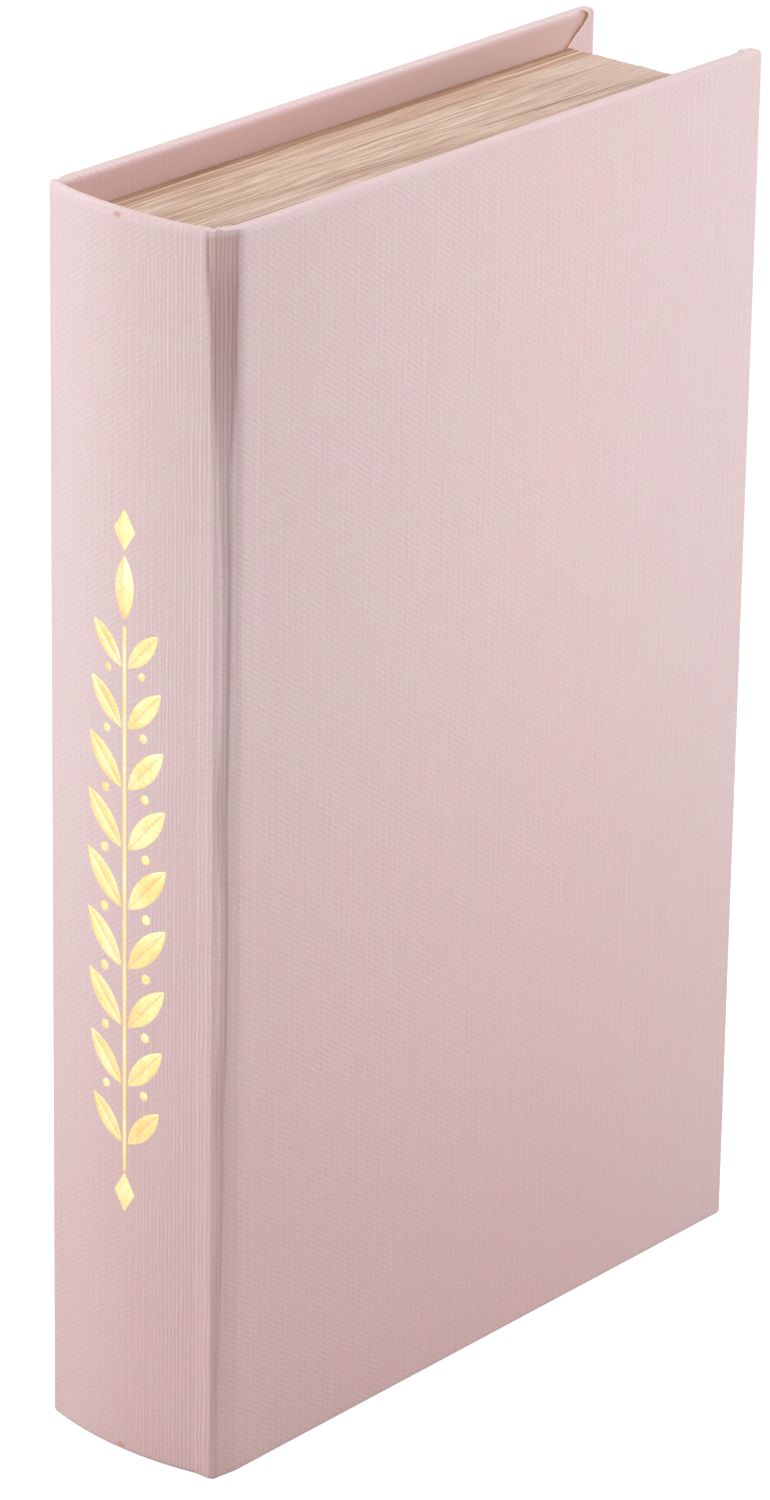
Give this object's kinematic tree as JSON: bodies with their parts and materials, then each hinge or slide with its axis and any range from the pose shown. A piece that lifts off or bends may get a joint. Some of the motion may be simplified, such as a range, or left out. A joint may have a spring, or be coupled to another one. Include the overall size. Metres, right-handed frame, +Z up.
{
  "type": "book-shaped box",
  "caption": "Book-shaped storage box bound in pale cloth: a shallow tray behind false page edges, a rounded spine, and a front cover that swings as the lid.",
  "frame": {"origin": "under the middle of the closed box's bounding box, on the plane of its lower cover edges", "axes": "+X from the spine to the fore edge, -Y out of the front cover (the lid), +Z up from the tail to the head"},
  "size_m": [0.1712, 0.0486, 0.27],
  "materials": {
    "book_cloth": "fine plain-weave book cloth, matt, dusty pink",
    "grey_board": "solid grey board, matt",
    "wall_board": "fibreboard, sanded",
    "page_edge": "matt, streaked cream to brown along the leaves",
    "lining_paper": "smooth matt lining paper",
    "catch_metal": "nickel plated",
    "gold_foil": "hot-pressed gold foil, satin"
  },
  "bodies": {
    "tray": {"back_board": "grey_board", "back_cloth": "book_cloth", "back_joint_cloth": "book_cloth", "spine_board": "grey_board", "spine_cloth": "book_cloth", "tray_floor": "wall_board", "head_wall": "wall_board", "tail_wall": "wall_board", "fore_edge_wall": "wall_board", "spine_wall": "wall_board", "head_page_edges": "page_edge", "tail_page_edges": "page_edge", "fore_edge_page_edges": "page_edge", "floor_lining": "lining_paper", "head_wall_lining": "lining_paper", "tail_wall_lining": "lining_paper", "fore_edge_wall_lining": "lining_paper", "spine_wall_lining": "lining_paper", "tray_magnets": "catch_metal", "front_joint_cloth": "book_cloth", "inner_hinge_strip": "lining_paper"},
    "front_cover": {"front_board": "grey_board", "front_cloth": "book_cloth", "front_lining": "lining_paper", "lid_discs": "catch_metal"}
  },
  "joints": [
    {"name": "cover_hinge", "type": "hinge", "parent": "tray", "child": "front_cover", "pos_m": [-0.0804, -0.02325, 0.135], "axis": [0, 0, -1], "range_deg": [0, 180], "deforming": ["front_joint_cloth", "inner_hinge_strip"]}
  ]
}
